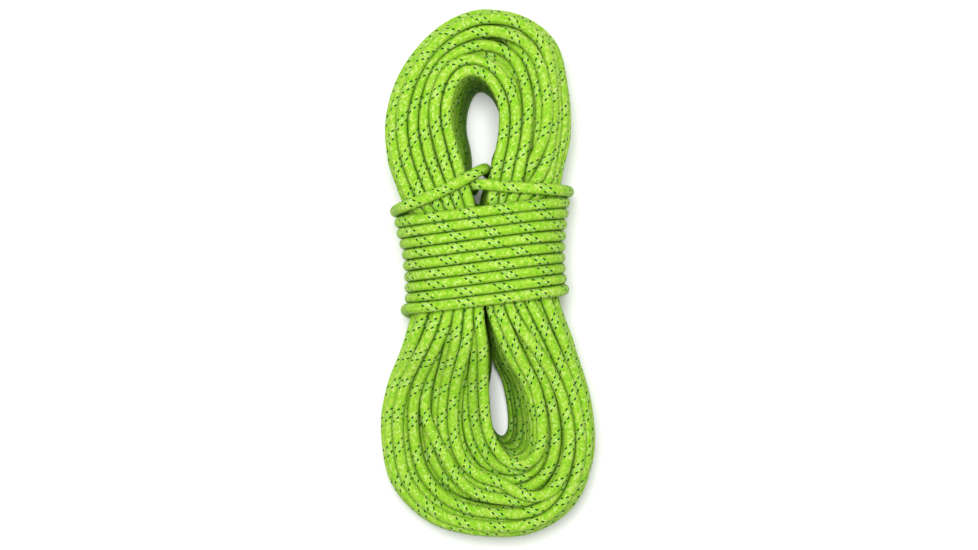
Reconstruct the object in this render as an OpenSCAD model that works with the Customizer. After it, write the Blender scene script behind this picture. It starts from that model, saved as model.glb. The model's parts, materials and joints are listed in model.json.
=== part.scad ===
// Dynamic climbing rope, 60 m of 10 mm kernmantle rope wound into a long hank.
// The hank lies on its back: X across it, Y along it towards the eye it hangs by, Z up.
// The origin is at the centre of the hank's outline, on the surface that it lies on.
// All lengths are in millimetres.

/* [Rope] */
// Diameter of the rope
rope_d = 10; // [9:0.1:10.4]
// Wall of the braided sheath
sheath_wall = 0.95; // [0.8:0.05:1]
// Diameter of each outer core strand
outer_strand_d = 1.95; // [1.7:0.05:1.95]
// Diameter of each inner core strand
inner_strand_d = 1.7; // [1.2:0.1:1.7]

/* [Hank] */
// Height of the coil's upper side above the floor where it comes out of the binding
coil_top_at_waist = 98; // [92:1:98]
// Height of the coil's upper side above the floor at the top of the upper loop
coil_top_at_head = 84; // [80:1:90]
// Height of the coil's upper side above the floor at the foot of the wider, flatter lower loop
coil_top_at_foot = 74; // [66:1:80]
// Height that the binding lifts the coil off the floor
coil_lift = 12; // [11:0.5:13]
// Width of the eye in the upper loop
upper_eye_w = 28; // [27:1:29]
// Width of the eye in the lower loop
lower_eye_w = 18; // [12:1:20]

/* [Binding] */
// Width of the binding wraps across the hank
binding_w = 152; // [150:1:153]
// Thickness of the bound waist, from the floor to the top of the wraps
binding_h = 108; // [107:1:109]
// Length of the waist that the wraps cover
binding_l = 83; // [78:1:84]
// Slope of the wraps across the hank, in degrees
binding_tilt = 5; // [4:0.5:6]

/* [Rope ends] */
// Length of the straight stretch of rope at each end
end_l = 56; // [50:1:57]
// Length of the shrink sleeve on each end
sleeve_l = 36; // [25:1:40]
// Wall of the shrink sleeve
sleeve_wall = 0.5; // [0.4:0.1:0.5]
// Length of the fused part at the very end
seal_l = 3; // [2:0.5:4]

/* [Hidden] */
OUTER_STRANDS = 9;
INNER_STRANDS = 2;
STRANDS = OUTER_STRANDS + INNER_STRANDS;
strand_names = [for (k = [1:STRANDS]) str("core_strand_", k)];

$fn = 48;
rope_r = rope_d / 2;
bore_r = rope_r - sheath_wall;
outer_strand_ring = bore_r - 0.025 - outer_strand_d / 2;
inner_strand_offset = 1.15;
tape = [0.3, 2.6];          // section of the marker tape
sleeve_gap = 0.1;           // between the sheath and the sleeve
sleeve_r = rope_r + sleeve_gap + sleeve_wall;

sheath_colour = [0.59, 0.82, 0.27];
core_colour = [0.95, 0.95, 0.93];
tape_colour = [0.15, 0.35, 0.75];
seal_colour = [0.28, 0.44, 0.14];
sleeve_colour = [0.93, 0.94, 0.93];

binding_centre = [-4, 13.5];
binding_corner = 42;        // corner radius of the wraps' section
waist_fit = 0.2;            // between the coil and the wraps

// Outer outlines of the two loops, anticlockwise from the waist. Each starts and ends inside the waist.
upper_loop_points = [
    [62, 30], [63, 62], [65, 78], [69, 95], [74, 123], [75, 150], [71, 185], [60, 211], [36, 233],
    [0, 241.5], [-36, 233], [-62, 211], [-80, 182], [-90, 150], [-92, 123], [-87, 92], [-78, 66],
    [-70, 50], [-70, 30]];
lower_loop_points = [
    [-70, 0], [-71, -38], [-78, -60], [-87, -82], [-95, -111], [-98.5, -141], [-96, -170],
    [-84, -199], [-62, -222], [-34, -236], [8, -241.5], [44, -235], [68, -219], [86, -198],
    [96, -171], [98.5, -143], [93, -111], [84, -75], [73, -45], [63, -22], [62, 0]];
edge_inset = 8;             // how far the coil's rounded edges step in
low_edge_z = 13;            // height of the lower edge step
high_edge_z = 62;           // height of the upper edge step

upper_eye = [-5.5, 76, 167];    // centre X, lower and upper ends along Y
lower_eye = [7.5, -156, -60];
ramp_up = [150, 200];       // the upper loop comes down to the floor between these
ramp_down = [-60, -95];     // and the lower loop between these

// The locking strand: out of the last wrap behind the hank, over the left bundle, down through the eye,
// behind the right bundle, back over it, down through the eye again and out behind the left bundle.
lock_route = [
    [20, 62.8, 5.2], [-25, 60.8, 5.2], [-58, 59, 6], [-77, 57.8, 17], [-84, 57.2, 42], [-82.5, 58, 72],
    [-73, 61, 98], [-56, 67, 104.5], [-34, 77, 104.5], [-17, 86.5, 103.5], [-7.5, 92, 97.5],
    [-3, 94.5, 84], [-2, 95, 54], [0, 94, 22], [8, 92, 8.5], [26, 89, 5.2], [50, 82, 5.5],
    [67, 77.5, 16], [73, 75.5, 42], [71.5, 75, 76], [62, 75, 98], [44, 76, 104.5], [18, 77.5, 104.5],
    [-2, 79.5, 103], [-11, 80, 96], [-14, 79.5, 80], [-14, 79, 52], [-14, 78.5, 22], [-21, 78.5, 8.5],
    [-36, 79.5, 5.3], [-54, 84, 5.5], [-67, 94, 5.7], [-74, 108, 5.7]];
lock_sides = 10;
lock_steps = 2;             // stretches of tube between two route points

tail_start = [-74, 108, 5.7];
tail_angle = 95;            // heading of the tail from +X, in degrees
start_start = [81, -163, 5.7];
start_angle = 92;
pocket_w = 13;              // room in the coil's underside for a rope end
pocket_h = 11.8;

// A point on the smooth curve through p[i] and its next point.
function between(p, i, t, last) =
    let (a = p[max(i - 1, 0)], b = p[i], c = p[min(i + 1, last)], d = p[min(i + 2, last)])
    0.5 * (2 * b + (c - a) * t + (2 * a - 5 * b + 4 * c - d) * t * t + (3 * b - a - 3 * c + d) * t * t * t);
function curve(p, steps) = concat(
    [for (i = [0:len(p) - 2]) for (s = [0:steps - 1]) between(p, i, s / steps, len(p) - 1)],
    [p[len(p) - 1]]);

function unit(v) = v / norm(v);
// The outline moved inwards; it runs anticlockwise, so inwards is to the left of the way it goes.
function inset(p, by) = [for (i = [0:len(p) - 1])
    let (way = unit(p[min(i + 1, len(p) - 1)] - p[max(i - 1, 0)])) p[i] + by * [-way[1], way[0]]];
function heading(p, i) = unit(p[min(i + 1, len(p) - 1)] - p[max(i - 1, 0)]);
// The sideways direction of each ring, carried along the route so that the tube doesn't twist.
function sideways(p) = [for (
    i = 0, v = unit(cross(heading(p, 0), [0, 0, 1]));
    i < len(p);
    i = i + 1, v = i < len(p) ? unit(v - heading(p, i) * (v * heading(p, i))) : v) v];

module rope_tube(route, sides, steps) {
    path = curve(route, steps);
    side = sideways(path);
    rings = len(path);
    points = [for (i = [0:rings - 1]) for (k = [0:sides - 1])
        let (a = 360 * k / sides, up = cross(side[i], heading(path, i)))
        path[i] + rope_r * (cos(a) * side[i] + sin(a) * up)];
    walls = [for (i = [0:rings - 2]) for (k = [0:sides - 1])
        let (n = (k + 1) % sides)
        [i * sides + k, i * sides + n, (i + 1) * sides + n, (i + 1) * sides + k]];
    first = [for (k = [sides - 1:-1:0]) k];
    last = [for (k = [0:sides - 1]) (rings - 1) * sides + k];
    polyhedron(points, concat([first, last], walls), convexity = 10);
}

module rounded_rect(w, h, r) {
    square([w - 2 * r, h], center = true);
    square([w, h - 2 * r], center = true);
    for (x = [-1, 1]) for (y = [-1, 1]) translate([x * (w / 2 - r), y * (h / 2 - r)]) circle(r);
}

// Stands a section of the hank up across the waist, where l is the length it covers.
module across_waist(l) {
    translate([binding_centre[0], binding_centre[1], 0]) rotate([0, 0, binding_tilt])
        translate([0, l / 2, binding_h / 2]) rotate([90, 0, 0]) linear_extrude(l) children();
}

// One layer of a loop, from z0 to z1, with its outline moved inwards.
module loop_layer(points, by, z0, z1) {
    translate([0, 0, z0]) linear_extrude(z1 - z0) polygon(inset(curve(points, 2), by));
}

module loop_body(points) {
    loop_layer(points, edge_inset, 0, low_edge_z);
    loop_layer(points, 0, low_edge_z, high_edge_z);
    loop_layer(points, edge_inset, high_edge_z, coil_top_at_waist);
}

// Everything between the upper and lower side of the coil, as a profile in Y and Z.
module side_profile(profile) {
    translate([-binding_w, 0, 0]) rotate([90, 0, 90]) linear_extrude(2 * binding_w) polygon(profile);
}

module eye_slot(eye, w) {
    translate([0, 0, -1]) linear_extrude(binding_h + 2) {
        translate([eye[0] - w / 2, eye[1] + w / 2]) square([w, eye[2] - eye[1] - w]);
        translate([eye[0], eye[1] + w / 2]) circle(w / 2);
        translate([eye[0], eye[2] - w / 2]) circle(w / 2);
    }
}

// The half of space that the waist and the other loop take up: towards is -1 below the waist, 1 above.
module beyond_waist(towards) {
    reach = 400;
    translate([binding_centre[0], binding_centre[1], -1]) rotate([0, 0, binding_tilt])
        translate([-reach / 2, towards > 0 ? binding_l / 2 - reach : -binding_l / 2, 0])
            cube([reach, reach, binding_h + 2]);
}

// Room in the coil's lower edge for a rope end that lies along it.
module end_pocket(from, angle) {
    translate([from[0], from[1], -1]) rotate([0, 0, angle])
        translate([0, -5 * pocket_w / 2, 0]) cube([end_l + 12, 3 * pocket_w, pocket_h + 1]);
}

module hank_upper_loop() {
    color(sheath_colour) difference() {
        intersection() {
            loop_body(upper_loop_points);
            side_profile([[20, coil_lift], [ramp_up[0], coil_lift], [ramp_up[1], 0], [250, 0],
                [250, coil_top_at_head], [170, coil_top_at_head], [90, coil_top_at_waist],
                [20, coil_top_at_waist]]);
        }
        eye_slot(upper_eye, upper_eye_w);
        beyond_waist(1);
    }
}

module hank_waist() {
    color(sheath_colour) across_waist(binding_l)
        rounded_rect(binding_w - 2 * (rope_d + waist_fit), binding_h - 2 * (rope_d + waist_fit),
            binding_corner - rope_d - waist_fit);
}

module hank_lower_loop() {
    color(sheath_colour) difference() {
        intersection() {
            loop_body(lower_loop_points);
            side_profile([[20, coil_lift], [ramp_down[0], coil_lift], [ramp_down[1], 0], [-250, 0],
                [-250, coil_top_at_foot], [-150, coil_top_at_foot], [-60, coil_top_at_waist],
                [20, coil_top_at_waist]]);
        }
        eye_slot(lower_eye, lower_eye_w);
        beyond_waist(-1);
        end_pocket(start_start, start_angle);
    }
}

module binding_wraps() {
    color(sheath_colour) across_waist(binding_l) difference() {
        rounded_rect(binding_w, binding_h, binding_corner);
        rounded_rect(binding_w - 2 * rope_d, binding_h - 2 * rope_d, binding_corner - rope_d);
    }
}

module lock_strand() {
    color(sheath_colour) rope_tube(lock_route, lock_sides, lock_steps);
}

// Lays out what it is given, which runs along +Z, along the tail end or the starting end.
module at_tail() translate(tail_start) rotate([0, 0, tail_angle]) rotate([0, 90, 0]) children();
module at_start() translate(start_start) rotate([0, 0, start_angle]) rotate([0, 90, 0]) children();
module at_both_ends() {
    at_tail() children();
    at_start() children();
}

module sheath_stretch() {
    difference() {
        cylinder(h = end_l, r = rope_r);
        translate([0, 0, -1]) cylinder(h = end_l + 2, r = bore_r);
    }
}
module tail_sheath() color(sheath_colour) at_tail() sheath_stretch();
module start_sheath() color(sheath_colour) at_start() sheath_stretch();

// Strands 1 to 9 lie round the outside of the core, and the last two lie inside it.
module core_strand(k) {
    is_outer = k <= OUTER_STRANDS;
    angle = is_outer ? 360 * k / OUTER_STRANDS : 180 * (k - OUTER_STRANDS);
    away = is_outer ? outer_strand_ring : inner_strand_offset;
    color(core_colour) at_both_ends() rotate([0, 0, angle]) translate([away, 0, 0])
        cylinder(h = end_l, d = is_outer ? outer_strand_d : inner_strand_d);
}

module core_marker_tape() {
    color(tape_colour) at_both_ends() translate([0, 0, end_l / 2])
        cube([tape[0], tape[1], end_l], center = true);
}

// The fused end: a shallow dome with a rounded rim.
module end_seal() {
    rim = 1;
    translate([0, 0, end_l]) rotate_extrude() {
        square([rope_r, seal_l - rim]);
        square([rope_r - rim, seal_l]);
        translate([rope_r - rim, seal_l - rim]) circle(rim);
    }
}
module tail_end_seal() color(seal_colour) at_tail() end_seal();
module start_end_seal() color(seal_colour) at_start() end_seal();

module end_sleeve() {
    translate([0, 0, end_l - sleeve_l - 4]) difference() {
        cylinder(h = sleeve_l, r = sleeve_r);
        translate([0, 0, -1]) cylinder(h = sleeve_l + 2, r = rope_r + sleeve_gap);
    }
}
module tail_end_sleeve() color(sleeve_colour) at_tail() end_sleeve();
module start_end_sleeve() color(sleeve_colour) at_start() end_sleeve();

hank_upper_loop();
hank_waist();
hank_lower_loop();
binding_wraps();
lock_strand();
tail_sheath();
start_sheath();
core_marker_tape();
tail_end_seal();
start_end_seal();
tail_end_sleeve();
start_end_sleeve();
for (k = [1:STRANDS]) core_strand(k);
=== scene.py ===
import json
import math
import time

import bpy
import numpy as np
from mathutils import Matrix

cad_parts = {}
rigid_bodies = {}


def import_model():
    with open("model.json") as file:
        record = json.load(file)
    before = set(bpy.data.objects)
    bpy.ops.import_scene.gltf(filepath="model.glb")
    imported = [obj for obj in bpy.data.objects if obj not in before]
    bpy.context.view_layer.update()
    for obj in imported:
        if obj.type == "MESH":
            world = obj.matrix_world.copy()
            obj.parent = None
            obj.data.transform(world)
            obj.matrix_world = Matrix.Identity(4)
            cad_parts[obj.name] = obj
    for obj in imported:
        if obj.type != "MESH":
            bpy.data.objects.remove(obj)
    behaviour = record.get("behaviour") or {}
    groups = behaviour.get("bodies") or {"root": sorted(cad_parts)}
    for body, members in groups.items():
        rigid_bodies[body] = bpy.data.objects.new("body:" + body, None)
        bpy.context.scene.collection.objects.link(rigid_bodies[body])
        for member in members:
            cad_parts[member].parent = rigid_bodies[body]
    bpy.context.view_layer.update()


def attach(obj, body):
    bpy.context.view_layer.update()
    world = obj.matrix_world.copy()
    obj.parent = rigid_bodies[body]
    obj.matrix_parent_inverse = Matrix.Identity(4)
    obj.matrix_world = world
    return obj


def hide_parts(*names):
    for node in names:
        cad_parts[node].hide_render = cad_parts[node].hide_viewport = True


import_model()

# A dynamic climbing rope, wound into a hank of turns, bound round the waist and locked with its own tail.
# Routes are worked out in millimetres, in the frame of the CAD model, and turned into metres for Blender.

MM = 0.001
ROPE_D = 10.0                   # diameter of the rope
ROPE_R = ROPE_D / 2
BEAD = 5.0                      # spacing of the points that the turns are settled with
ROUNDS = (700, 200)             # of settling: before the bends are eased, and after it
RNG = np.random.default_rng(41)


# ---------------------------------------------------------------- curves

def unit(v):
    v = np.asarray(v, float)
    return v / np.maximum(np.linalg.norm(v, axis=-1, keepdims=True), 1e-9)


def catmull(a, b, c, d, t):
    return 0.5 * (2 * b + (c - a) * t + (2 * a - 5 * b + 4 * c - d) * t ** 2
                  + (3 * b - a - 3 * c + d) * t ** 3)


def closed_curve(points, q):
    """The smooth closed curve through points, where q counts points along it."""
    points = np.asarray(points, float)
    k = np.floor(q).astype(int)
    t = (q - k)[:, None]
    n = len(points)
    return catmull(points[(k - 1) % n], points[k % n], points[(k + 1) % n], points[(k + 2) % n], t)


def open_curve(points, steps=12):
    """The smooth open curve through points, as the CAD route tube follows it."""
    p = np.asarray(points, float)
    last = len(p) - 1
    out = []
    for i in range(last):
        a, b, c, d = p[max(i - 1, 0)], p[i], p[i + 1], p[min(i + 2, last)]
        out += [catmull(a, b, c, d, s / steps) for s in range(steps)]
    return np.array(out + [p[last]])


def bridge(p0, way0, p1, way1, steps=24):
    """A curve from p0 to p1 that leaves along way0 and arrives along way1."""
    reach = np.linalg.norm(np.subtract(p1, p0))
    t = np.linspace(0, 1, steps)[1:-1, None]
    m0, m1 = unit(way0) * reach, unit(way1) * reach
    return ((2 * t ** 3 - 3 * t ** 2 + 1) * p0 + (t ** 3 - 2 * t ** 2 + t) * m0
            + (3 * t ** 2 - 2 * t ** 3) * p1 + (t ** 3 - t ** 2) * m1)


def lengths(path):
    return np.concatenate([[0], np.cumsum(np.linalg.norm(np.diff(path[:, :3], axis=0), axis=1))])


def even(path, spacing):
    """The same path with its points evenly spaced."""
    at = lengths(path)
    count = max(int(round(at[-1] / spacing)), 2)
    want = np.linspace(0, at[-1], count + 1)
    return np.stack([np.interp(want, at, path[:, k]) for k in range(path.shape[1])], axis=1)


def tangents(path):
    return unit(np.gradient(path, axis=0))


def wander(count, knots, reach):
    """count smooth random numbers, about reach in size, with a new value at each of so many knots."""
    values = RNG.normal(0, reach, knots + 3)
    q = np.linspace(0, knots, count, endpoint=False)
    k = q.astype(int)
    return catmull(values[k], values[k + 1], values[np.minimum(k + 2, knots + 2)],
                   values[np.minimum(k + 3, knots + 2)], q - k)


def smooth_step(t):
    t = np.clip(t, 0, 1)
    return t * t * (3 - 2 * t)


# ---------------------------------------------------------------- the coil

# The hank's outline, anticlockwise from the middle of the waist: outer edge, inner edge of the front turns,
# inner edge of the back turns, and the thickness of the bundle there.
OUTLINE = [
    ((62, 15), (-4, 15), (-4, 15), 88),
    ((63, 58), (-1, 58), (-7, 58), 88),
    ((68, 92), (2, 90), (-6, 86), 86),
    ((75, 125), (8.5, 122), (12, 122), 83),
    ((74, 165), (9, 148), (12, 146), 85),
    ((63.5, 211), (-1, 168), (5, 163), 85),
    ((33, 236), (-9, 175), (-3, 170), 85),
    ((-7, 240.5), (-17, 176), (-9, 171), 85),
    ((-46, 223.5), (-25, 169), (-15, 165), 85),
    ((-77.5, 188), (-30, 155), (-18, 152), 85),
    ((-92.5, 145), (-32, 137), (-19, 134), 85),
    ((-91.5, 105), (-26, 112), (-15, 112), 83),
    ((-81, 72), (-18, 84), (-15, 82), 86),
    ((-71, 50), (-10, 54), (-8, 54), 88),
    ((-70, 15), (-4, 15), (-4, 15), 88),
    ((-70, -28), (-4, -30), (-4, -30), 85),
    ((-78, -62), (0, -64), (4, -78), 77),
    ((-94, -103), (1, -104), (0, -104), 66),
    ((-99.5, -145), (4, -134), (1, -132), 60),
    ((-89.5, -194), (10, -151), (7, -145), 60),
    ((-56, -229), (18, -162), (11, -151), 62),
    ((-10, -242.5), (28, -166), (14, -152), 65),
    ((39, -240), (37, -161), (17, -149), 68),
    ((78, -215), (41, -147), (18, -140), 71),
    ((98, -170.5), (39, -124), (17, -122), 74),
    ((97, -122), (31, -97), (12, -98), 78),
    ((83, -72), (13, -66), (2, -78), 82),
    ((66, -25), (-2, -28), (-2, -28), 86),
]
STATIONS = len(OUTLINE)
WAIST = (-4.0, 15.0)            # middle of the waist
WAIST_LIFT = 10.0               # the coil lies on the wraps here
LIFT_UP = (140.0, 200.0)        # and comes down to the floor between these, towards the upper loop
LIFT_DOWN = (-45.0, -100.0)     # and between these, towards the lower one
COLUMNS = 6
DISORDER = (0.06, 0.045)        # how far the turns stray from their places, across and down
LAYERS = [5, 6, 6, 6, 6, 6, 6, 6, 6, 6]     # turns in each layer, from the front to the back
ROUNDING = 7.0                  # how far the front and back turns lie inside the outline
EDGE_DROP = 5.0                 # how much lower the front turns are at the bundle's outer edge
# Turns that have strayed: their layers, their numbers from the eye, the outline station where they have
# strayed most, how many stations from there they are back, and how far they have strayed across and down.
STRAYS = [
    ((0,), (0, 1), 8.0, 5.5, -0.12, 0.09), ((0,), (2, 3, 4), 8.0, 5.5, 0.06, -0.04),
    ((1,), (0, 1), 8.0, 5.5, -0.04, 0.0), ((1,), (2,), 8.0, 5.5, 0.0, 0.08),
    ((1,), (3, 4, 5), 8.0, 5.5, 0.05, 0.0),
    ((0,), (0,), 18.3, 3.6, -0.12, -0.02), ((0,), (1, 2, 3, 4), 18.0, 3.5, 0.06, 0.0),
    ((1,), (0,), 18.3, 3.6, 0.05, 0.10), ((1,), (1, 2, 3), 18.0, 3.5, 0.05, 0.0),
    ((0,), (1,), 24.2, 3.6, 0.50, -0.12), ((1,), (3,), 20.0, 3.0, -0.25, -0.16),
    ((1,), (4,), 4.0, 3.0, -0.22, -0.14), ((0,), (3,), 12.0, 3.0, 0.20, -0.05),
]


def sites():
    """The place of each turn in the bundle, in the order they are wound: across from 0 at the eye to 1,
    down from 0 at the front to 1, the layer's number and the turn's number in it, from the eye."""
    columns = [[] for _ in range(COLUMNS)]
    for layer, turns in enumerate(LAYERS):
        stagger = (0.25 if layer % 2 else -0.25) if turns == COLUMNS else 0.0
        for m in range(turns):
            across = (m + (COLUMNS - turns) / 2 + stagger) / (COLUMNS - 1)
            column = min(int(round(m + (COLUMNS - turns) / 2 + 0.01)), COLUMNS - 1)
            columns[column].append((across, layer / (len(LAYERS) - 1), layer, m))
    order = []
    for k, column in enumerate(reversed(columns)):
        column = sorted(column, key=lambda site: site[1])
        order += column if k % 2 else column[::-1]
    return np.array(order)


def underside(y):
    up = 1 - smooth_step((y - LIFT_UP[0]) / (LIFT_UP[1] - LIFT_UP[0]))
    down = 1 - smooth_step((LIFT_DOWN[0] - y) / (LIFT_DOWN[0] - LIFT_DOWN[1]))
    return WAIST_LIFT * np.minimum(up, down)


def rounding(down):
    return ROUNDING * np.abs(2 * down - 1) ** 2.5


def strayed(near, places, q):
    """How far each point of the coil has strayed across and down, where near is the turn it is in."""
    out = np.zeros((len(q), 2))
    turn = np.clip(near - 1, 0, len(places) - 1)
    layer, number = places[turn, 2], places[turn, 3]
    for layers, numbers, station, reach, across, down in STRAYS:
        away = np.abs((q - station + STATIONS / 2) % STATIONS - STATIONS / 2)
        how = smooth_step(1.5 * (1 - away / reach)) * np.isin(layer, layers) * np.isin(number, numbers)
        out += how[:, None] * (across, down)
    return out


def in_bundle(q, across, down):
    """Where a turn runs at outline station q, at that place in the bundle."""
    outer = closed_curve([row[0] for row in OUTLINE], q)
    front = closed_curve([row[1] for row in OUTLINE], q)
    back = closed_curve([row[2] for row in OUTLINE], q)
    thick = closed_curve([[row[3]] for row in OUTLINE], q)[:, 0]
    inner = front + (back - front) * down[:, None]
    span = outer - inner
    width = np.linalg.norm(span, axis=1)
    share = (ROPE_R + across * (width - ROPE_D - rounding(down))) / width
    xy = inner + span * share[:, None]
    drop = EDGE_DROP * np.clip(across, 0, 1) ** 2 * (1 - down)
    z = underside(xy[:, 1]) + ROPE_R + (1 - down) * (thick - ROPE_D) - drop
    return np.column_stack([xy, z])


def coil_path(first=0.18, per_turn=320, move=0.9 / STATIONS):
    """The turns, one after another, clockwise: each moves over to the next place inside the waist.
    The last three columns are the turn's place: its outline station, across and down."""
    places = sites()
    turns = len(places)
    count = int(per_turn * (turns - first))
    turn = np.linspace(first, turns, count)
    near = np.round(turn).astype(int)
    blend = smooth_step((turn - near) / (2 * move) + 0.5)
    before = places[np.clip(near - 1, 0, turns - 1)]
    after = places[np.clip(near, 0, turns - 1)]
    place = (before + (after - before) * blend[:, None])[:, :2]
    q = STATIONS * (turns - turn)
    place = place + strayed(np.ceil(turn).astype(int), places, q)
    loose = in_bundle(q, place[:, 0], place[:, 1])
    away = np.hypot(loose[:, 0] - WAIST[0], (loose[:, 1] - WAIST[1]) * 1.2)
    slack = smooth_step((away - 60) / 70)
    across = place[:, 0] + slack * wander(count, int(4.3 * turns), DISORDER[0])
    down = place[:, 1] + slack * wander(count, int(4.3 * turns), DISORDER[1])
    across, down = np.clip(across, -0.06, 1), np.clip(down, -0.15, 1)
    tidy = in_bundle(q, place[:, 0], place[:, 1])
    return np.column_stack([in_bundle(q, across, down), q, across, down, tidy])


# ---------------------------------------------------------------- the binding

WRAP_PITCH = 9.83
WRAP_FIRST_Y = -31.6            # of the lowest wrap, at its left end
WRAP_RISE = 12.9                # how much higher the wraps are at their right end
WRAP_SQUARE = 3.0               # 2 is an ellipse round the waist, and more is squarer
WRAP_HALF_H = 49.0
WRAP_MID_Z = 54.0
# Half of each wrap's width and the middle of it, from the lowest wrap up: the waist is drawn in most halfway
# up.
WRAP_SIZES = [(71.6, -1.4), (69.0, -1.6), (68.5, -2.4), (68.3, -2.9), (68.8, -3.5), (69.5, -3.8),
              (71.1, -4.5), (72.9, -5.2), (74.6, -5.4), (75.2, -5.4)]


def waist_size(turn):
    """Half of the width across the waist between the wraps' centrelines, and its middle, at a wrap."""
    turn = np.clip(turn, 0, len(WRAP_SIZES) - 1.001)
    rows = np.array([WRAP_SIZES[0]] + WRAP_SIZES + [WRAP_SIZES[-1]])
    k = turn.astype(int)
    t = (turn - k)[:, None]
    both = catmull(rows[k], rows[k + 1], rows[k + 2], rows[np.minimum(k + 3, len(rows) - 1)], t)
    return both[:, 0], both[:, 1]


def wrap_path(turn):
    """The wraps round the waist, where turn counts from the left end of the lowest one."""
    half_w, mid_x = waist_size(turn)
    c, s = np.cos(2 * np.pi * turn), np.sin(2 * np.pi * turn)
    power = 2 / WRAP_SQUARE
    u = -np.sign(c) * np.abs(c) ** power
    x = mid_x + half_w * u
    z = WRAP_MID_Z + WRAP_HALF_H * np.sign(s) * np.abs(s) ** power
    sweep = (u + 1) / 2
    rise = WRAP_RISE * (0.45 * sweep + 0.55 * smooth_step(sweep))
    slack = 0.35 * np.sin(5.3 * turn) + 0.25 * np.sin(11.9 * turn + 1)
    y = WRAP_FIRST_Y + WRAP_PITCH * turn + rise + slack
    return np.column_stack([x, y, z])


# Out of the coil, under its left bundle and up into the first wrap.
LEAD_ROUTE = [(1, -6, 15.2), (1, -22, 14.5), (-3, -35, 10.5), (-14, -43, 6), (-32, -44.5, 5.2),
              (-52, -42, 6), (-66, -38, 17)]
# The locking strand: out of the last wrap behind the hank, over the left bundle, down through the eye,
# behind the right bundle, back over it, down through the eye again and out behind the left bundle.
LOCK_ROUTE = [
    (20, 62.8, 5.2), (-25, 60.8, 5.2), (-58, 59, 6), (-77, 57.8, 17), (-84, 57.2, 42),
    (-82.5, 58, 72), (-73, 61, 98), (-56, 67, 104.5), (-34, 77, 104.5), (-17, 86.5, 103.5),
    (-7.5, 92, 97.5), (-3, 94.5, 84), (-2, 95, 54), (0, 94, 22), (8, 92, 8.5), (26, 89, 5.2),
    (50, 82, 5.5), (67, 77.5, 16), (73, 75.5, 42), (71.5, 75, 76), (62, 75, 98), (44, 76, 104.5),
    (18, 77.5, 104.5), (-2, 79.5, 103), (-11, 80, 96), (-14, 79.5, 80), (-14, 79, 52), (-14, 78.5, 22),
    (-21, 78.5, 8.5), (-36, 79.5, 5.3), (-54, 84, 5.5), (-67, 94, 5.7), (-74, 108, 5.7)]
TAIL_FROM = (-74.0, 108.0, 5.7)
TAIL_ANGLE = 95.0
START_FROM = (81.0, -163.0, 5.7)
START_ANGLE = 92.0
END_LENGTH = 56.0


def end_stretch(start, angle):
    """The straight stretch of rope at an end, from where it starts to the fused tip."""
    way = np.array([math.cos(math.radians(angle)), math.sin(math.radians(angle)), 0])
    return np.array([start + way * s for s in np.linspace(0, END_LENGTH, 15)])


# ---------------------------------------------------------------- settling the turns

def cell_key(points, size):
    cell = np.floor(points / size).astype(np.int64) + 50
    return (cell[:, 0] * 1000 + cell[:, 1]) * 1000 + cell[:, 2]


def cell_steps(half=False):
    """What to add to a cell's key for each cell around it, or for one of each two opposite ones."""
    around = [(a, b, c) for a in (-1, 0, 1) for b in (-1, 0, 1) for c in (-1, 0, 1)]
    return [(a * 1000 + b) * 1000 + c for a, b, c in around if not half or (a, b, c) >= (0, 0, 0)]


def sorted_cells(points, size):
    key = cell_key(points, size)
    order = np.argsort(key, kind="stable")
    return key[order], order


def matches(wanted, keys, order):
    """Each wanted cell's number with each point in that cell."""
    low = np.searchsorted(keys, wanted, "left")
    counts = np.searchsorted(keys, wanted, "right") - low
    i = np.repeat(np.arange(len(wanted)), counts)
    offset = np.arange(len(i)) - np.repeat(np.cumsum(counts) - counts, counts)
    return i, order[np.repeat(low, counts) + offset]


def near_pairs(points, reach):
    """Every pair of points closer than reach, found through a grid of cells."""
    key, keys, order = cell_key(points, reach), *sorted_cells(points, reach)
    firsts, seconds = [], []
    for step in cell_steps(half=True):
        i, j = matches(key + step, keys, order)
        keep = (i < j) | (step != 0)
        keep &= ((points[i] - points[j]) ** 2).sum(1) < reach ** 2
        firsts.append(np.minimum(i, j)[keep])
        seconds.append(np.maximum(i, j)[keep])
    return np.concatenate(firsts), np.concatenate(seconds)


def closest(gap, ti, tj, half):
    """The vector between the closest points of two short stretches, whose middles are gap apart."""
    b = (ti * tj).sum(1)
    pi, pj = (gap * ti).sum(1), (gap * tj).sum(1)
    den = 1 - b * b
    skew = den > 0.02
    s = np.where(skew, (b * pj - pi) / np.where(skew, den, 1), -0.5 * pi)
    s = np.clip(s, -half, half)
    t = np.clip(b * s + pj, -half, half)
    s = np.clip(b * t - pi, -half, half)
    return gap + ti * s[:, None] - tj * t[:, None]


PAIR_REACH = 13.0               # how near each other two points are for their contact to be tested
PUSH = 1.6                      # share of an overlap that a round takes away
SAG = 0.02                      # how far a round lets the turns sink at first
SQUEEZE = 0.55                  # how much thinner than elsewhere the turns are inside the wraps
WAIST_HOLD = 46.0               # half of the length of the waist that the wraps hold


def waist_tilt(p):
    """How far along the waist each point is from its middle, where the wraps slope across the hank."""
    return p[:, 1] - WAIST[1] - 0.09 * (p[:, 0] - WAIST[0])


def hold_in_waist(p):
    """Keeps the turns inside the wraps."""
    tilt = waist_tilt(p)
    inside = np.abs(tilt) < WAIST_HOLD
    half_w, middle = waist_size(tilt / WRAP_PITCH + 4.2)
    half_w, half_h, n = half_w - ROPE_D + 0.2, WRAP_HALF_H - ROPE_D + 0.2, WRAP_SQUARE
    x, z = p[:, 0] - middle, p[:, 2] - WRAP_MID_Z
    out = (np.abs(x / half_w) ** n + np.abs(z / half_h) ** n) ** (1 / n)
    scale = np.where(inside & (out > 1), 1 / np.maximum(out, 1e-6), 1)
    p[:, 0] += (scale - 1) * x
    p[:, 2] += (scale - 1) * z


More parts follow.
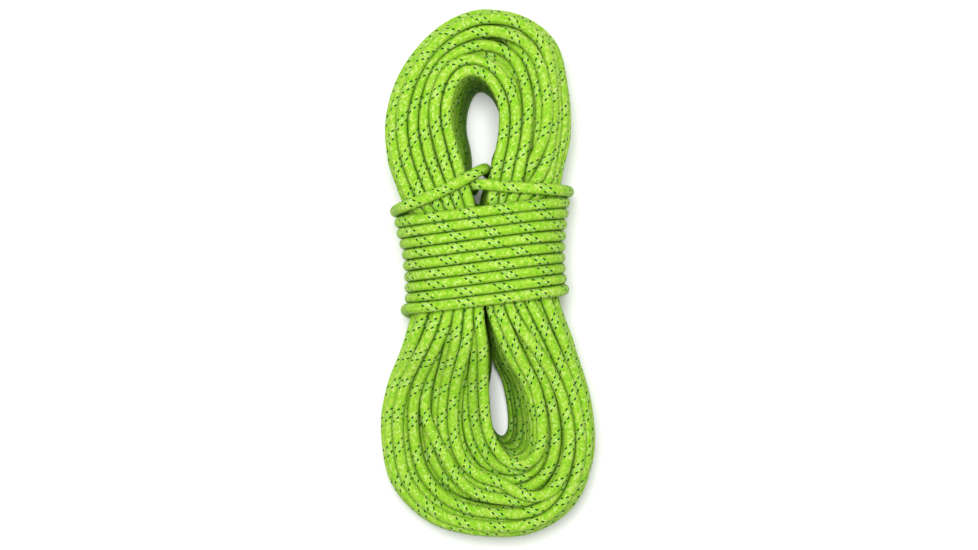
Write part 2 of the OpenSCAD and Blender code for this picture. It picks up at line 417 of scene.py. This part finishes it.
def edge_and_outward(rows, q):
    """The point of an outline at station q, and the level direction that points out of it there."""
    edge = closed_curve(rows, q)
    way = unit(closed_curve(rows, q + 0.1) - closed_curve(rows, q - 0.1))
    return edge, np.column_stack([way[:, 1], -way[:, 0]])


class Bounds:
    """The hank's outer edge, and the edge of its eyes, beside each point of the coil."""

    def __init__(self, q, down):
        self.outer, self.out = edge_and_outward([row[0] for row in OUTLINE], q)
        front, self.into = edge_and_outward([row[1] for row in OUTLINE], q)
        back = closed_curve([row[2] for row in OUTLINE], q)
        self.inner = front + (back - front) * down[:, None]
        self.inset = ROPE_R + rounding(np.clip(down, 0, 1)) + np.abs(wander(len(q), len(q) // 90, 1.0))
        self.grip = 0.5 * (np.abs(np.gradient(q)) > 1e-6)[:, None]     # not on the stretches to the ends

    def hold(self, p):
        """Moves the points half of the way back inside."""
        over = np.maximum(((p[:, :2] - self.outer) * self.out).sum(1) + self.inset, 0)
        p[:, :2] -= self.grip * over[:, None] * self.out
        under = np.minimum(((p[:, :2] - self.inner) * self.into).sum(1) - ROPE_R, 0)
        p[:, :2] -= self.grip * under[:, None] * self.into


def push_apart(p, fixed, i, j, ways, width):
    """How far each point has to move for no stretch to lie in another; width is each point's own."""
    n = len(p)
    everything = np.concatenate([p, fixed])
    gap = closest(everything[i] - everything[j], ways[i], ways[j], BEAD / 2)
    size = np.maximum(np.linalg.norm(gap, axis=1), 1e-6)
    bite = np.maximum((width[i] + width[j]) / 2 - size, 0)
    hit = bite > 0
    ii, jj, push = i[hit], j[hit], gap[hit] / size[hit, None] * bite[hit, None]
    free = jj < n
    share = np.where(free, 0.5, 1.0)[:, None] * push
    hits = np.bincount(ii, minlength=n) + np.bincount(jj[free], minlength=n)
    move = np.zeros_like(p)
    for k in range(3):
        move[:, k] += np.bincount(ii, share[:, k], minlength=n)
        move[:, k] -= np.bincount(jj[free], share[free, k], minlength=n)
    return move / np.maximum(hits, 1)[:, None], bite[hit]


def ease_bends(p, tightest=22.0):
    """Straightens the bends that are tighter than that radius a little."""
    bend = p[:-2] - 2 * p[1:-1] + p[2:]
    tight = np.linalg.norm(bend, axis=1) > BEAD ** 2 / tightest
    near = tight.copy()
    near[1:] |= tight[:-1]
    near[:-1] |= tight[1:]
    p[1:-1] += 0.25 * near[:, None] * bend


def settle(turns, fixed, rounds, begin=0.0):
    """Pushes the turns apart until they hardly lie in each other, and lets them sink on to each other. It
    can begin part of the way through, when they no longer sink."""
    p = turns[:, :3].copy()
    aim = turns[:, 6:9].copy()
    n = len(p)
    bounds = Bounds(turns[:, 3], turns[:, 5])
    fixed_ways = np.concatenate([tangents(f) for f in fixed])
    fixed = np.concatenate(fixed)
    for count in range(rounds):
        progress = begin + (1 - begin) * count / rounds
        if count % 6 == 0:
            i, j = near_pairs(np.concatenate([p, fixed]), PAIR_REACH)
            keep = (i < n) & ((j >= n) | (j - i > 5))
            i, j = i[keep], j[keep]
            squeezed = 1 - smooth_step((np.abs(waist_tilt(p)) - 35) / 30)
            width = np.concatenate([9.95 - SQUEEZE * squeezed, np.full(len(fixed), 10.0)])
        ways = np.concatenate([tangents(p), fixed_ways])
        move, bite = push_apart(p, fixed, i, j, ways, width)
        p += PUSH * move
        p[:, 2] -= SAG * (1 - smooth_step((progress - 0.4) / 0.3))
        drift = p - aim
        mid = drift.copy()
        mid[1:-1] = (drift[:-2] + 2 * drift[1:-1] + drift[2:]) / 4
        mid[2:-2] = 0.5 * mid[2:-2] + 0.25 * (mid[:-4] + mid[4:])
        drift += (0.38 - 0.23 * smooth_step((progress - 0.3) / 0.6)) * (mid - drift)
        p = aim + drift
        bounds.hold(p)
        hold_in_waist(p)
        p[:, 2] = np.maximum(p[:, 2], ROPE_R)
        p[0], p[-1] = aim[0], aim[-1]
        if progress > 0.5 and count % 5 == 0:
            ease_bends(p)
        if count % 100 == 99 or count == rounds - 1:
            print(f"round {count + 1}: {len(i)} pairs, {len(bite)} touch, deepest {bite.max():.2f}, "
                  f"mean {bite.mean():.3f}, over 1 mm {(bite > 1).sum()}, over 2 mm {(bite > 2).sum()}, "
                  f"top {p[:, 2].max():.1f}")
    return p


# ---------------------------------------------------------------- meshes

SIDES = 20
RING = 3.5                      # spacing of the rings that the rope's surface is made of
BRAID_PITCH = 31.5              # length of rope in which a yarn goes once round it


def frames(path):
    """Two directions across the path at each point, carried along so that they don't twist."""
    ways = tangents(path)
    side = np.empty_like(path)
    v = np.cross(ways[0], (0.0, 0.0, 1.0))
    for k, way in enumerate(ways):
        v = v - way * v.dot(way)
        v = v / math.sqrt(v.dot(v))
        side[k] = v
    return side, np.cross(side, ways)


class Rope:
    """The whole rope's centreline, with what its surface needs at each of its points."""

    def __init__(self, rows):
        path, place = rows[:, :3], rows[:, 3:]
        self.path = path
        self.at = lengths(path)
        count = len(path)
        side, up = frames(path)
        turned = np.cumsum(wander(count, count // 60, 0.012))
        turned = (np.cos(turned)[:, None], np.sin(turned)[:, None])
        self.side = side * turned[0] + up * turned[1]
        self.up = up * turned[0] - side * turned[1]
        pitch = BRAID_PITCH * (1 + wander(count, count // 90, 0.05))
        self.braid = np.concatenate([[0], np.cumsum(np.diff(self.at) / pitch[1:])])
        squeezed = 1 - smooth_step((np.abs(waist_tilt(path)) - 30) / 25)
        inside = (np.abs(path[:, 0] + 4) < 63) & (np.abs(path[:, 2] - WRAP_MID_Z) < 42)
        self.radius = ROPE_R - 0.25 * squeezed * inside
        angle = np.linspace(0, 2 * np.pi, SIDES, endpoint=False)
        spread = (np.cos(angle)[None, :, None] * self.side[:, None]
                  + np.sin(angle)[None, :, None] * self.up[:, None])
        self.verts = path[:, None] + self.radius[:, None, None] * spread
        # painted shade: the deeper of the shade painted where turns touch and the shade painted on the eyes'
        # inner walls
        self.painted_shade = np.maximum(self.contact_shade(), self.eye_wall_shade(place, spread))

    def eye_wall_shade(self, place, spread):
        """Painted shade on the inner walls of the hank's eyes, from 0 to 1: how far inside an eye each point
        of the surface is, more where it faces into the eye.
        """
        q, across, down = place.T
        _, outward = edge_and_outward([row[1] for row in OUTLINE], q)
        facing = np.clip(-(spread[..., :2] * outward[:, None]).sum(-1), 0, 1)
        deep = smooth_step(1.6 * np.minimum(down, 1.45 - down)) * smooth_step(1.3 - 5 * across)
        return 0.9 * deep[:, None] * (0.42 + 0.58 * facing)

    def contact_shade(self, reach=8.4):
        """Painted shade where turns touch, from 0 to 1: how deep each point of the surface lies in the gap
        beside another turn.
        """
        points = self.verts.reshape(-1, 3)
        ring = np.repeat(np.arange(len(self.path)), SIDES)
        nearest = np.full(len(points), reach)
        key, keys, order = cell_key(points, reach), *sorted_cells(self.path, reach)
        for step in cell_steps():
            i, j = matches(key + step, keys, order)
            other = np.abs(ring[i] - j) > 7
            i, j = i[other], j[other]
            np.minimum.at(nearest, i, np.linalg.norm(points[i] - self.path[j], axis=1))
        deep = 1 - (nearest - ROPE_R) / (reach - ROPE_R)
        return (np.clip(deep, 0, 1) ** 2).reshape(-1, SIDES)

    def tube(self, name, first, last):
        """A closed tube round the stretch from point first to point last, with the braid's UVs."""
        span = slice(first, last + 1)
        count = last - first + 1
        a = np.arange(count - 1)[:, None] * SIDES
        k = np.arange(SIDES)[None]
        n = (k + 1) % SIDES
        quads = np.stack([a + k, a + n, a + SIDES + n, a + SIDES + k], axis=-1).reshape(-1, 4)
        caps = [list(range(SIDES))[::-1], list(range((count - 1) * SIDES, count * SIDES))]
        mesh = bpy.data.meshes.new(name)
        mesh.from_pydata(self.verts[span].reshape(-1, 3) * MM, [], quads.tolist() + caps)
        u = np.broadcast_to(np.stack([k, k + 1, k + 1, k], axis=-1) / SIDES, (count - 1, SIDES, 4))
        v = self.braid[span] - math.floor(self.braid[first])
        v = np.stack([v[:-1], v[:-1], v[1:], v[1:]], axis=-1)[:, None, :]
        v = np.broadcast_to(v, (count - 1, SIDES, 4))
        uv = np.stack([u, v], axis=-1).reshape(-1, 2)
        uv = np.concatenate([uv, np.zeros((2 * SIDES, 2))])
        mesh.uv_layers.new(name="braid").data.foreach_set("uv", uv.ravel())
        # the painted shade, kept on the mesh for the material to darken the colour with
        painted_shade = mesh.attributes.new("painted_shade", "FLOAT", "POINT")
        painted_shade.data.foreach_set("value", self.painted_shade[span].ravel())
        mesh.polygons.foreach_set("use_smooth", [True] * len(quads) + [False] * 2)
        mesh.validate()
        ob = bpy.data.objects.new(name, mesh)
        bpy.context.scene.collection.objects.link(ob)
        return ob


# ---------------------------------------------------------------- materials

class Shader:
    """A material's node tree, with short ways to add nodes."""

    def __init__(self, name):
        self.material = bpy.data.materials.new(name)
        self.material.use_nodes = True
        self.nodes = self.material.node_tree.nodes
        self.links = self.material.node_tree.links
        self.surface = self.nodes["Principled BSDF"]

    def add(self, kind, *inputs, **settings):
        node = self.nodes.new(kind)
        for key, value in settings.items():
            setattr(node, key, value)
        for k, value in enumerate(inputs):
            self.put(node.inputs[k], value)
        return node

    def put(self, socket, value):
        if isinstance(value, bpy.types.NodeSocket):
            self.links.new(value, socket)
        elif value is not None:
            socket.default_value = value

    def math(self, operation, *inputs):
        return self.add("ShaderNodeMath", *inputs, operation=operation).outputs[0]

    def choose(self, first, a, b):
        """a where first is 1, and b where it is 0."""
        return self.math("ADD", self.math("MULTIPLY", first, a),
                         self.math("MULTIPLY", self.math("SUBTRACT", 1.0, first), b))

    def crown(self, t, power):
        """0 at both ends of t's range from 0 to 1, and 1 in its middle."""
        off = self.math("ABSOLUTE", self.math("SUBTRACT", self.math("MULTIPLY", t, 2.0), 1.0))
        return self.math("SUBTRACT", 1.0, self.math("POWER", off, power))

    def mix(self, factor, a, b):
        node = self.nodes.new("ShaderNodeMix")
        node.data_type = "RGBA"
        self.put(node.inputs[0], factor)
        self.put(node.inputs[6], a)
        self.put(node.inputs[7], b)
        return node.outputs[2]


def colour(r, g, b):
    """A colour given as it looks on a screen, from 0 to 255, in the linear values that shaders take."""
    return tuple(((c / 255 + 0.055) / 1.055) ** 2.4 if c > 10 else c / 3294 for c in (r, g, b)) + (1.0,)


YARNS = 16                      # yarns of the sheath that run each way
TRACERS = (0, 4)                # the dark ones, of those that run one way


def braid_material(name):
    """Braided nylon yarns, each over two and under two, with two dark tracer yarns."""
    s = Shader(name)
    split = s.add("ShaderNodeSeparateXYZ", s.add("ShaderNodeUVMap", uv_map="braid").outputs[0])
    u, v = split.outputs[0], split.outputs[1]
    right = s.math("MULTIPLY", s.math("ADD", u, v), float(YARNS))
    left = s.math("MULTIPLY", s.math("SUBTRACT", v, u), float(YARNS))
    i, j = s.math("FLOOR", right), s.math("FLOOR", left)
    on_top = s.math("LESS_THAN", s.math("FLOORED_MODULO", s.math("SUBTRACT", j, i), 4.0), 1.5)
    run_r = s.math("SUBTRACT", left, i)
    run_l = s.math("SUBTRACT", s.math("SUBTRACT", right, j), 1.0)
    run = s.choose(on_top, run_r, run_l)
    across = s.choose(on_top, s.math("FRACT", right), s.math("FRACT", left))
    along = s.math("MULTIPLY", s.math("FLOORED_MODULO", run, 4.0), 0.5)
    height = s.math("MULTIPLY", s.crown(across, 2.0), s.math("MULTIPLY_ADD", s.crown(along, 2.6), 0.6, 0.4))
    one = s.choose(on_top, i, j)
    float_id = s.add("ShaderNodeCombineXYZ", one, s.math("FLOOR", s.math("MULTIPLY", run, 0.25)), on_top)
    speck = s.add("ShaderNodeTexWhiteNoise", float_id.outputs[0], noise_dimensions="3D")
    yarn = s.math("FLOORED_MODULO", i, float(YARNS))
    tracer = s.math("ADD", s.math("COMPARE", yarn, float(TRACERS[0]), 0.4),
                    s.math("COMPARE", yarn, float(TRACERS[1]), 0.4))
    tracer = s.math("MULTIPLY", tracer, on_top)
    between = s.math("MULTIPLY", s.math("COMPARE", yarn, 2.0, 1.4), on_top)
    tint = s.math("MULTIPLY_ADD", speck.outputs["Value"], 0.88, s.math("MULTIPLY", on_top, -0.12))
    base = s.mix(s.math("ADD", tint, 0.12), colour(130, 201, 22), colour(196, 226, 82))
    # painted highlight: a few yarn floats, picked at random, turn pale and whitish, like glints of light off
    # the yarns
    painted_glint = s.math("GREATER_THAN", speck.outputs["Value"], 0.86)
    base = s.mix(s.math("MULTIPLY", painted_glint, 0.5), base, colour(214, 236, 142))
    base = s.mix(s.math("MULTIPLY", between, 0.32), base, colour(190, 228, 156))
    # painted shade: the grooves between the yarns are darkened towards a deep green
    groove_shade = s.math("SUBTRACT", 1.0, s.math("POWER", height, 0.6))
    base = s.mix(s.math("MULTIPLY", groove_shade, 0.66), base, colour(54, 140, 8))
    base = s.mix(tracer, base, colour(10, 66, 28))
    # painted shade: a dark, saturated green mixed in where turns touch and inside the eyes
    painted_shade = s.add("ShaderNodeAttribute", attribute_name="painted_shade").outputs["Fac"]
    base = s.mix(s.math("MULTIPLY", painted_shade, 0.85), base, colour(20, 88, 4))
    s.put(s.surface.inputs["Base Color"], base)
    s.surface.inputs["Roughness"].default_value = 0.55
    s.surface.inputs["Specular IOR Level"].default_value = 0.12
    bump = s.add("ShaderNodeBump")
    bump.inputs["Distance"].default_value = 0.0004
    bump.inputs["Strength"].default_value = 0.9
    s.put(bump.inputs["Height"], height)
    s.links.new(bump.outputs[0], s.surface.inputs["Normal"])
    return s.material


def speckled_material(name, light, dark, scale, roughness, bump=0.0):
    """One colour with soft specks of another in it, and a bumpy surface if bump isn't 0."""
    s = Shader(name)
    noise = s.add("ShaderNodeTexNoise")
    noise.inputs["Scale"].default_value = scale
    noise.inputs["Detail"].default_value = 3.0
    s.put(s.surface.inputs["Base Color"], s.mix(noise.outputs[0], colour(*light), colour(*dark)))
    s.surface.inputs["Roughness"].default_value = roughness
    if bump:
        relief = s.add("ShaderNodeBump")
        relief.inputs["Distance"].default_value = bump
        s.put(relief.inputs["Height"], noise.outputs[0])
        s.links.new(relief.outputs[0], s.surface.inputs["Normal"])
    return s.material


def strand_material():
    """White nylon yarns, twisted together: the core's strands."""
    s = Shader("core_strand")
    wave = s.add("ShaderNodeTexWave", bands_direction="DIAGONAL")
    wave.inputs["Scale"].default_value = 260.0
    wave.inputs["Distortion"].default_value = 1.5
    s.put(s.surface.inputs["Base Color"],
          s.mix(wave.outputs["Fac"], colour(196, 198, 190), colour(244, 244, 238)))
    s.surface.inputs["Roughness"].default_value = 0.6
    bump = s.add("ShaderNodeBump")
    bump.inputs["Distance"].default_value = 0.0003
    s.put(bump.inputs["Height"], wave.outputs["Fac"])
    s.links.new(bump.outputs[0], s.surface.inputs["Normal"])
    return s.material


# ---------------------------------------------------------------- the stage

def stage():
    bpy.context.scene.view_settings.view_transform = "Standard"
    world = bpy.data.worlds.new("studio")
    world.use_nodes = True
    world.node_tree.nodes["Background"].inputs[0].default_value = (1, 1, 1, 1)
    world.node_tree.nodes["Background"].inputs[1].default_value = 0.42
    bpy.context.scene.world = world
    mesh = bpy.data.meshes.new("floor")
    mesh.from_pydata([(-3, -3, 0), (3, -3, 0), (3, 3, 0), (-3, 3, 0)], [], [(0, 1, 2, 3)])
    floor = bpy.data.objects.new("floor", mesh)
    bpy.context.scene.collection.objects.link(floor)
    mesh.materials.append(plain_floor())
    softbox("above", (-0.1, 0.3, 2.2), 0.8, 52)


def softbox(name, place, size, power):
    light = bpy.data.lights.new(name, "AREA")
    light.size = size
    light.energy = power
    ob = bpy.data.objects.new(name, light)
    bpy.context.scene.collection.objects.link(ob)
    ob.location = place
    x, y, z = place
    ob.rotation_euler = (math.atan2(math.hypot(x, y), z), 0, math.atan2(x, -y))


def plain_floor():
    s = Shader("floor")
    s.surface.inputs["Base Color"].default_value = (0.92, 0.92, 0.92, 1)
    s.surface.inputs["Roughness"].default_value = 0.9
    return s.material


def camera():
    data = bpy.data.cameras.new("camera")
    ob = bpy.data.objects.new("camera", data)
    bpy.context.scene.collection.objects.link(ob)
    bpy.context.scene.camera = ob
    view_height = 1.69              # of the camera above the floor
    scaled_at = 0.045               # height at which the frame's width is as given
    frame_width = 0.8968
    data.sensor_width = 36.0
    data.lens = 36.0 * (view_height - scaled_at) / frame_width
    data.clip_end = 20
    ob.location = (0.0009, -0.0005, view_height)
    ob.rotation_euler = (0, 0, 0)


# ---------------------------------------------------------------- the rope

def joined(a, b):
    """The bridge from the end of one path to the start of the next."""
    return bridge(a[-1, :3], a[-1, :3] - a[-2, :3], b[0, :3], b[1, :3] - b[0, :3])


def placed(path, row):
    """A path given the place in the coil of a neighbouring point of it."""
    return np.column_stack([path, np.tile(row[3:6], (len(path), 1)), path])


def settled_turns(turns, fixed):
    """The turns settled, eased where they bend too tightly, and then settled again round that eased path."""
    first, last = ROUNDS
    settled = settle(turns, fixed, first)
    turns = even(np.column_stack([settled, turns[:, 3:6], settled]), BEAD)
    for _ in range(25):
        ease_bends(turns[:, 6:9])
    turns[:, :3] = turns[:, 6:9]
    turns[:, :3] = settle(turns, fixed, last, 0.75)
    return even(turns, BEAD)


def whole_route():
    """The rope's centreline from end to end, and the points of it where it is cut into pieces: once every
    three turns, inside the waist, and behind the waist between the wraps."""
    start_end = end_stretch(np.array(START_FROM), START_ANGLE)[::-1]
    tail_end = end_stretch(np.array(TAIL_FROM), TAIL_ANGLE)
    coil = coil_path()
    lead = open_curve(LEAD_ROUTE)
    wraps = wrap_path(np.linspace(0.03, 8.68, 9 * 200))
    lock = open_curve(LOCK_ROUTE)
    turns = even(np.concatenate([placed(joined(start_end, coil), coil[0]), coil[:-12],
                                 placed(joined(coil[:-12], lead), coil[-13])]), BEAD)
    binding = even(np.concatenate([lead, joined(lead, wraps), wraps, joined(wraps, lock), lock]), BEAD)
    turns = settled_turns(turns, [even(start_end, BEAD), binding, even(tail_end, BEAD)])
    left = turns[:, 3] / STATIONS
    cuts = [0]
    cuts += [len(start_end) - 1 + int(np.argmin(np.abs(left - k))) for k in range(58, 2, -3)]
    offset = len(start_end) - 1 + len(turns) - 1
    cuts += [offset + np.argmin(np.linalg.norm(binding - wrap_path(np.array([k + 0.75])), axis=1))
             for k in (1, 3, 5, 7)]
    route = np.concatenate([start_end[:-1], turns[:, :3], binding[1:], tail_end[1:]])
    place = np.tile((0.0, 1.0, 0.0), (len(route), 1))
    place[len(start_end) - 1:][:len(turns)] = turns[:, 3:6]
    return np.column_stack([route, place]), cuts


REPLACED = ("hank_upper_loop", "hank_waist", "hank_lower_loop", "binding_wraps", "lock_strand",
            "tail_sheath", "start_sheath")


def piece_name(k, count):
    return f"rope_turns_{k + 1:02d}" if k < count - 5 else f"rope_binding_{k - count + 6}"


def add_piece(rope, k, cuts, look):
    """One stretch of the rope, between two cuts, as its own mesh on the root body."""
    first, last = cuts[k], cuts[k + 1]
    count = len(cuts) - 1
    piece = rope.tube(piece_name(k, count), first, last)
    piece.data.materials.append(look)
    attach(piece, "root")
    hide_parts(*REPLACED)
    tips = ["start_end_seal", "start_end_sleeve"] if k == 0 else []
    tips += ["tail_end_seal", "tail_end_sleeve"] if k == count - 1 else []


def add_rope():
    """The whole rope, cut into pieces."""
    route, cuts = whole_route()
    rope = Rope(even(open_curve(route, 2), RING))
    cuts = [int(np.argmin(np.linalg.norm(rope.path - route[c, :3], axis=1))) for c in cuts]
    cuts.append(len(rope.path) - 1)
    look = braid_material("braided_sheath")
    for k in range(len(cuts) - 1):
        add_piece(rope, k, cuts, look)
    print(f"whole rope {rope.at[-1] / 1000:.3f} m, {len(rope.path)} rings")


def dress_ends():
    """Procedural materials for the CAD's own pieces at the two ends of the rope."""
    strand = strand_material()
    tape = speckled_material("marker_tape", (70, 104, 206), (48, 78, 176), 500.0, 0.35)
    fused = speckled_material("fused_end", (122, 168, 40), (40, 84, 20), 420.0, 0.28, 0.0012)
    sleeve = speckled_material("shrink_sleeve", (244, 245, 243), (226, 228, 226), 160.0, 0.22, 0.0002)
    for ob in bpy.data.objects:
        look = strand if ob.name.startswith("core_strand") else None
        look = tape if ob.name == "core_marker_tape" else look
        look = fused if ob.name.endswith("_end_seal") else look
        look = sleeve if ob.name.endswith("_end_sleeve") else look
        if look:
            ob.data.materials.clear()
            ob.data.materials.append(look)


began = time.time()
camera()
stage()
add_rope()
dress_ends()
print(f"built in {time.time() - began:.1f} s")
